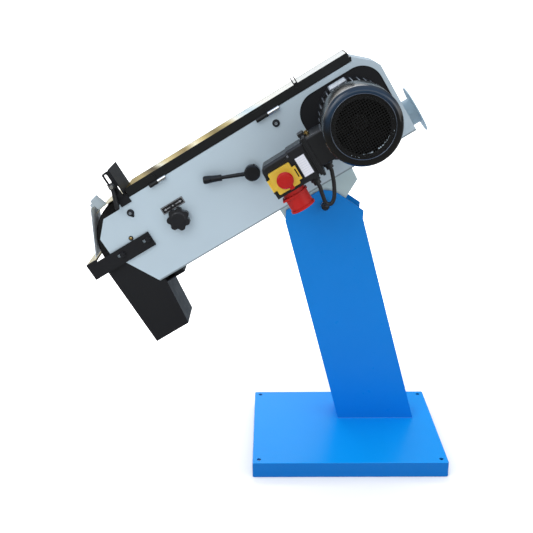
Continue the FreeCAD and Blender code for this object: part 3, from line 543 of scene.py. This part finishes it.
def cable_rubber():
    net = material_net("cable_rubber")
    fine = net.noise(scale=260.0)
    net.surface(
        color=net.mottle(fine, srgb(26, 27, 29), srgb(38, 39, 42)), specular=0.4,
        roughness=net.spread(fine, 0.44, 0.58),
        normal=net.bump(fine, strength=0.10, distance=0.0005))


# ---------------------------------------------------------------- the materials
GREY = srgb(181, 198, 209)
BEARING_STEEL = (0.68, 0.68, 0.70)

powder("panel_powder_coat", GREY, roughness=0.38, peel=0.08, specular=0.40, cloud=0.02,
       wear=0.03, shade=panel_shade)
powder("grey_powder_coat", GREY, roughness=0.40, peel=0.10, specular=0.45, cloud=0.02)
powder("bracket_grey_coat", srgb(176, 196, 200), roughness=0.42, peel=0.12, specular=0.45,
       cloud=0.03)
powder("duct_grey_coat", srgb(158, 182, 196), roughness=0.42, peel=0.12, specular=0.45,
       cloud=0.03)
powder("blue_powder_coat", (0.0015, 0.196, 0.615), roughness=0.32, peel=0.04, specular=0.20,
       cloud=0.02, wear=0.01, shade=column_shade)
# Painted light: the base's blue is a brighter copy of the column's, standing in for light
# falling on its top.
powder("blue_base_painted_light", (0.0015, 0.310, 0.87), roughness=0.24, peel=0.012, specular=0.32,
       cloud=0.008, wear=0.0, scatter=0.25, shade=base_shade)
powder("black_satin_coat", srgb(31, 32, 35), roughness=0.46, peel=0.08, specular=0.16,
       cloud=0.08)
powder("black_lid_coat", srgb(28, 30, 31), roughness=0.38, peel=0.12, specular=0.22,
       cloud=0.10)
cast("motor_casting_black", srgb(28, 30, 34), roughness=0.40, bump=0.16, specular=0.38)
fin_casting()
powder("fan_cover_black", srgb(16, 17, 19), roughness=0.13, peel=0.015, specular=0.50,
       cloud=0.08, shade=cover_sky_reflection)

moulded("black_plastic", srgb(28, 30, 35), roughness=0.34, bump=0.06, specular=0.42)
moulded("black_grip_plastic", srgb(24, 26, 30), roughness=0.30, bump=0.06, specular=0.32)
moulded("fan_plastic", srgb(30, 30, 32), roughness=0.55)
moulded("yellow_plastic", srgb(222, 186, 66), roughness=0.34, bump=0.06, specular=0.32,
        subsurface=0.05, cloud=0.03)
moulded("red_plastic", srgb(178, 20, 18), roughness=0.30, bump=0.05, specular=0.32,
        subsurface=0.04)
moulded("red_inlet_plastic", srgb(182, 22, 18), roughness=0.42, bump=0.14, specular=0.28,
        subsurface=0.03, cloud=0.08)
moulded("green_plastic", srgb(30, 130, 60), roughness=0.34, bump=0.06, subsurface=0.04)

metal("bright_zinc_plate", (0.74, 0.76, 0.78), roughness=0.32, stretch=(60, 60, 60),
      blotch=(0.60, 0.64, 0.70))
metal("ground_steel", (0.58, 0.58, 0.59), roughness=0.34, stretch=(14, 1200, 1200))
metal("ground_platen", (0.60, 0.60, 0.61), roughness=0.30, stretch=(10, 1500, 1500))
metal("spring_steel", (0.36, 0.36, 0.38), roughness=0.36, stretch=(300, 300, 300))
metal("brass_plate", (0.80, 0.58, 0.24), roughness=0.30, stretch=(200, 200, 200))
cast("winding_iron", (0.22, 0.10, 0.05), roughness=0.6, bump=0.4)
# Painted reflections of the surroundings are laid on the lid sheet by lid_painted_reflection.
metal("lid_plated_sheet", (0.72, 0.66, 0.50), roughness=0.18, stretch=(8, 700, 700),
      painted_reflection=lid_painted_reflection)
galvanised("galvanised_sheet", (0.40, 0.50, 0.57), (0.60, 0.69, 0.75), metallic=0.35)
# Partly the guard's own pale colour and partly painted light: the sheet is brightened almost to
# white, with no metal sheen, to stand in for light on its shaded inner face.
galvanised("guard_sheet_painted_light", (0.68, 0.80, 0.88), (0.93, 0.98, 1.0), metallic=0.0)
metal("yellow_plated_sheet", (0.62, 0.55, 0.36), roughness=0.32, stretch=(500, 10, 500),
      blotch=(0.50, 0.44, 0.28))

turned("hub_turned_alloy", (0.72, 0.73, 0.74), WHEEL_AXIS, roughness=0.32)
turned("drive_wheel_turned", (0.66, 0.67, 0.68), MOTOR_AXIS, roughness=0.34)
turned("bearing_ground_steel", BEARING_STEEL, WHEEL_AXIS, roughness=0.18, pitch=0.8)
turned("motor_bearing_steel", BEARING_STEEL, MOTOR_AXIS, roughness=0.18, pitch=0.8)
turned("shaft_turned_steel", (0.60, 0.60, 0.61), MOTOR_AXIS, roughness=0.26, painted_shade_y=-126.0)

wheel_rubber()
abrasive_grit()
graphite_cloth()
blank_labels()
direction_label()
black_screws()
clamp_lever()
cable_rubber()


# ---------------------------------------------------------------- edges and shading
def smooth_group(degrees):
    """Node group that smooths faces and keeps edges sharper than the angle hard."""
    name = "ShadeByAngle%d" % degrees
    if name in bpy.data.node_groups:
        return bpy.data.node_groups[name]
    group = bpy.data.node_groups.new(name, "GeometryNodeTree")
    for way in ("INPUT", "OUTPUT"):
        group.interface.new_socket("Geometry", in_out=way, socket_type="NodeSocketGeometry")
    start = group.nodes.new("NodeGroupInput")
    end = group.nodes.new("NodeGroupOutput")
    faces = group.nodes.new("GeometryNodeSetShadeSmooth")
    faces.domain = "FACE"
    faces.inputs["Shade Smooth"].default_value = True
    angle = group.nodes.new("GeometryNodeInputMeshEdgeAngle")
    soft = group.nodes.new("FunctionNodeCompare")
    soft.data_type = "FLOAT"
    soft.operation = "LESS_EQUAL"
    soft.inputs[1].default_value = math.radians(degrees)
    edges = group.nodes.new("GeometryNodeSetShadeSmooth")
    edges.domain = "EDGE"
    group.links.new(angle.outputs[0], soft.inputs[0])
    group.links.new(start.outputs[0], faces.inputs["Geometry"])
    group.links.new(faces.outputs[0], edges.inputs["Geometry"])
    group.links.new(soft.outputs[0], edges.inputs["Shade Smooth"])
    group.links.new(edges.outputs[0], end.inputs[0])
    return group


def modify(shape, name, kind, **settings):
    modifier = shape.modifiers.new(name, kind)
    for key, value in settings.items():
        setattr(modifier, key, value)


def dress(shape, material, bevel, segments=2):
    """Give a CAD piece its material, rounded edges and smooth shading."""
    shape.data.materials.clear()
    shape.data.materials.append(MATERIALS[material])
    modify(shape, "Weld", "WELD", merge_threshold=0.00001)
    if bevel:
        modify(shape, "Planar", "DECIMATE", decimate_type="DISSOLVE",
               angle_limit=math.radians(0.4), delimit={"NORMAL"})
        modify(shape, "Edges", "BEVEL", width=bevel, segments=segments, limit_method="ANGLE",
               angle_limit=math.radians(34), use_clamp_overlap=True, miter_outer="MITER_ARC")
    modify(shape, "Smooth", "NODES", node_group=smooth_group(38))
    if bevel:
        modify(shape, "Normals", "WEIGHTED_NORMAL", keep_sharp=True, weight=80)


# (pieces, material, bevel width in metres, bevel segments where not 2)
DRESSING = [
    ("base_plate", "blue_base_painted_light", 0.0008),
    ("column_shell", "blue_powder_coat", 0.0006),
    ("pivot_bolt", "black_plastic", 0.0005),
    ("pivot_washers", "bright_zinc_plate", 0.0003),
    ("pivot_bracket", "bracket_grey_coat", 0.0008),
    ("near_side_panel", "panel_powder_coat", 0.0006),
    ("housing_shell", "grey_powder_coat", 0.0004),
    ("access_door", "grey_powder_coat", 0.0006),
    ("door_handle", "black_plastic", 0.0006),
    ("abrasive_belt", "abrasive_grit", 0),
    ("contact_wheel_tyre", "wheel_rubber", 0.0006),
    ("contact_wheel_hub", "hub_turned_alloy", 0.0005),
    ("contact_wheel_bearings", "bearing_ground_steel", 0.0003),
    ("contact_wheel_axle", "ground_steel", 0.0004),
    ("wheel_fork fork_guide", "ground_steel", 0.0006),
    ("tension_spring", "spring_steel", 0.0002),
    ("platen_support motor_plate", "black_satin_coat", 0.0005),
    ("platen", "ground_platen", 0.0004),
    ("graphite_pad", "graphite_cloth", 0),
    ("motor_frame", "motor_fin_casting", 0.0006),
    ("motor_end_shields", "motor_casting_black", 0.0006),
    ("motor_bearings", "motor_bearing_steel", 0.0003),
    ("motor_stator", "winding_iron", 0.0006),
    ("motor_rotor", "shaft_turned_steel", 0.0004),
    ("motor_fan", "fan_plastic", 0.0003),
    ("fan_cover", "fan_cover_black", 0),
    ("drive_wheel", "drive_wheel_turned", 0.0005),
    ("tension_lever_arm", "black_grip_plastic", 0.0004),
    ("tension_lever_handle", "black_grip_plastic", 0.0003),
    ("tracking_knob", "black_plastic", 0.0012, 3),
    ("tracking_label", "direction_label", 0),
    ("lid_skin", "lid_plated_sheet", 0.0004),
    ("lid_flange", "black_lid_coat", 0.0004),
    ("hinge_halves_fixed", "bright_zinc_plate", 0.0003),
    ("workpiece_stop stop_bracket", "black_satin_coat", 0.0004),
    ("stop_clamp_lever", "clamp_lever_plastic", 0.0004),
    ("nose_sheet", "yellow_plated_sheet", 0.0003),
    ("guard_hinge_blocks", "galvanised_sheet", 0.0006),
    ("front_guard", "guard_sheet_painted_light", 0.0003),
    ("tool_rest_arm", "black_satin_coat", 0.0005),
    ("tool_rest_table", "yellow_plated_sheet", 0.0004),
    ("panel_bolts", "black_oxide_screws", 0.0003),
    ("spark_box", "black_satin_coat", 0.0005),
    ("dust_port", "duct_grey_coat", 0.0004),
    ("switch_housing", "black_plastic", 0.0008),
    ("blank_labels", "blank_label_sheet", 0),
    ("flap_cover", "yellow_plastic", 0.0006),
    ("stop_mushroom", "red_plastic", 0.0006),
    ("start_button", "green_plastic", 0.0005),
    ("stop_button", "red_plastic", 0.0005),
    ("terminal_box terminal_lid", "motor_casting_black", 0.0008),
    ("brass_screws", "brass_plate", 0.0003),
    ("cable_glands", "black_plastic", 0.0005),
    ("motor_cable", "cable_rubber", 0),
    ("power_inlet", "red_inlet_plastic", 0.0004),
]
for names, *look in DRESSING:
    for piece in names.split():
        dress(PIECES[piece], *look)


# ---------------------------------------------------------------- small turned details
def lathe(name, profile, axis, material, steps, closed=False):
    """Turn (radius, y) points in millimetres round a Y axis of the head.

    An open profile starts on the axis and ends on it."""
    mesh = bmesh.new()
    rings = []
    for radius, y in profile:
        angles = [2 * math.pi * k / steps for k in range(steps)]
        if radius < 1e-6:
            angles = [0.0]
        rings.append([mesh.verts.new(head_point(axis[0] + radius * math.cos(angle), y,
                                                axis[1] + radius * math.sin(angle)))
                      for angle in angles])
    pairs = list(zip(rings, rings[1:]))
    if closed:
        pairs.append((rings[-1], rings[0]))
    for ring, other in pairs:
        for k in range(steps):
            following = (k + 1) % steps
            if len(ring) == 1:
                corners = (ring[0], other[following], other[k])
            elif len(other) == 1:
                corners = (ring[k], ring[following], other[0])
            else:
                corners = (ring[k], ring[following], other[following], other[k])
            mesh.faces.new(corners)
    bmesh.ops.recalc_face_normals(mesh, faces=mesh.faces)
    shape = add_object(name, mesh, MATERIALS[material])
    modify(shape, "Smooth", "NODES", node_group=smooth_group(60))
    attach(shape, "head")


def add_object(name, mesh, material):
    data = bpy.data.meshes.new(name)
    mesh.to_mesh(data)
    mesh.free()
    shape = bpy.data.objects.new(name, data)
    scene.collection.objects.link(shape)
    data.materials.append(material)
    return shape


def circle_profile(radius, y, thickness, steps=14):
    """Round section of a ring; thickness is the section's own radius."""
    angles = [2 * math.pi * k / steps for k in range(steps)]
    return [(radius + thickness * math.cos(angle), y + thickness * math.sin(angle))
            for angle in angles]


BAFFLE = [(61.0, -226.6), (67.6, -226.6), (67.6, -225.8), (61.0, -225.8)]
LAMP = [(0, -99.5), (2.9, -99.5), (2.9, -102.0), (2.5, -103.0), (1.5, -103.8), (0, -104.1)]

metal("fan_cover_bead", (0.11, 0.13, 0.17), roughness=0.30, stretch=(60, 60, 60))
moulded("pilot_lamp_lens", srgb(96, 100, 108), roughness=0.22, bump=0.03)
lathe("fan_cover_bead", circle_profile(radius=72.5, y=-229.9, thickness=1.3), MOTOR_AXIS,
      "fan_cover_bead", steps=128, closed=True)
lathe("grille_baffle", BAFFLE, MOTOR_AXIS, "motor_casting_black", steps=96,
      closed=True)
lathe("pilot_lamp", LAMP, PILOT_LAMP, "pilot_lamp_lens", steps=32)


# ---------------------------------------------------------------- stage
def floor_paper():
    """White paper, glowing white away from the machine for the camera, duller in gloss."""
    net = material_net("floor_paper")
    place = net.coords()
    paper = net.mottle(net.noise(scale=3.0, detail=3.0, vector=place),
                       (0.90, 0.90, 0.895), (0.93, 0.93, 0.925))
    ray = net.add("ShaderNodeLightPath").outputs
    x, y, z = net.separate(place)
    behind = net.remap(y, (0.5, 1.6), smooth=True)
    dull = net.mix(behind, (0.18, 0.17, 0.14), (0.62, 0.72, 0.80))
    distance = net.hypot(net.times(x, 0.9), y)
    glow = net.remap(distance, (0.22, 0.95), (0.10, 1.0), smooth=True)
    net.surface(
        color=net.mix(ray["Is Glossy Ray"], paper, dull), roughness=0.9, specular=0.1,
        emission_color=(1, 1, 1), emission=net.times(glow, ray["Is Camera Ray"]))


def floor():
    floor_paper()
    mesh = bmesh.new()
    bmesh.ops.create_grid(mesh, x_segments=4, y_segments=4, size=30)
    shape = add_object("floor", mesh, MATERIALS["floor_paper"])
    shape.location = (0, 0, -0.0006)


floor()

# World colours as (height, colour): 0 is straight down, 0.5 the horizon, 1 straight up.
SOFT_LIGHT = [
    (0.0, (0.50, 0.50, 0.50)), (0.45, (0.56, 0.57, 0.58)), (0.55, (0.56, 0.57, 0.58)),
    (0.80, (0.95, 0.97, 1.0)), (1.0, (1.30, 1.33, 1.38)),
]
# What polished faces see: dark below, a tan band, white, then pale blue overhead.
REFLECTED = [
    (0.0, (0.14, 0.13, 0.11)), (0.49, (0.14, 0.13, 0.11)), (0.52, (0.20, 0.19, 0.16)),
    (0.55, (0.60, 0.57, 0.48)), (0.585, (1.75, 1.72, 1.64)), (0.65, (1.90, 1.94, 2.00)),
    (0.70, (1.10, 1.18, 1.28)), (0.78, (0.46, 0.56, 0.72)), (1.0, (0.75, 0.95, 1.30)),
]


def studio():
    world = bpy.data.worlds.new("studio")
    scene.world = world
    world.use_nodes = True
    net = Net(world.node_tree)
    x, y, z = net.separate(net.add("ShaderNodeTexCoord").outputs["Generated"])
    height = net.remap(z, (-1.0, 1.0))
    ray = net.add("ShaderNodeLightPath").outputs
    # reflections: a dark patch on the far right, a warm glow low on the far side
    patch = net.times(
        net.remap(x, (0.02, 0.16), smooth=True),
        net.times(net.remap(y, (0.2, 0.6)), net.remap(z, (0.75, 0.55))))
    level = net.math("ABSOLUTE", net.minus(z, 0.04))
    glow = net.times(net.remap(y, (0.45, 0.85), smooth=True),
                     net.remap(level, (0.10, 0.24), (1.0, 0.0)))
    seen = net.mix(net.times(glow, 0.92), net.ramp(height, REFLECTED), (1.30, 1.28, 1.20))
    seen = net.mix(net.times(patch, 0.85), seen, (0.10, 0.12, 0.14))
    sky = net.mix(ray["Is Glossy Ray"], net.ramp(height, SOFT_LIGHT), seen)
    background = world.node_tree.nodes["Background"]
    net.put(background.inputs["Color"], net.mix(ray["Is Camera Ray"], sky, (1.25, 1.25, 1.25)))
    net.put(background.inputs["Strength"], 0.88)


studio()


def area_light(name, location, target, size, power, color):
    """Rectangular light aimed at a target; metres and watts."""
    light = bpy.data.lights.new(name, "AREA")
    light.shape = "RECTANGLE"
    light.size, light.size_y = size
    light.energy = power
    light.color = color
    lamp = bpy.data.objects.new(name, light)
    scene.collection.objects.link(lamp)
    lamp.location = location
    aim = Vector(target) - Vector(location)
    lamp.rotation_euler = aim.to_track_quat("-Z", "Y").to_euler()


area_light("key", location=(-2.0, -2.2, 2.8), target=(-0.2, 0.1, 0.6), size=(1.8, 1.8),
           power=29, color=(1.0, 0.99, 0.97))
area_light("fill", location=(2.6, -2.4, 1.7), target=(-0.1, 0.1, 0.6), size=(2.0, 2.0),
           power=15, color=(0.96, 0.98, 1.0))
area_light("back", location=(-0.6, 2.2, 3.2), target=(-0.1, 0.1, 0.5), size=(2.4, 1.6),
           power=46, color=(0.98, 0.99, 1.0))


def add_camera(location, yaw, pitch, roll):
    """Angles in degrees: yaw from +Y towards +X, pitch downwards, roll about the view."""
    lens = bpy.data.cameras.new("camera")
    lens.lens, lens.sensor_width = 55.74, 36.0
    lens.clip_start, lens.clip_end = 0.05, 200
    camera = bpy.data.objects.new("camera", lens)
    scene.collection.objects.link(camera)
    yaw, pitch, roll = (math.radians(angle) for angle in (yaw, pitch, roll))
    forward = Vector((math.sin(yaw) * math.cos(pitch), math.cos(yaw) * math.cos(pitch),
                      -math.sin(pitch)))
    right = Vector((math.cos(yaw), -math.sin(yaw), 0))
    up = right.cross(forward)
    rolled_right = math.cos(roll) * right + math.sin(roll) * up
    rolled_up = -math.sin(roll) * right + math.cos(roll) * up
    pose = Matrix((rolled_right, rolled_up, -forward)).transposed().to_4x4()
    pose.translation = Vector(location)
    camera.matrix_world = pose
    scene.camera = camera


add_camera(location=(-0.1985, -2.0398, 1.1656), yaw=-0.382, pitch=18.040, roll=-0.384)
scene.view_settings.view_transform = "Standard"
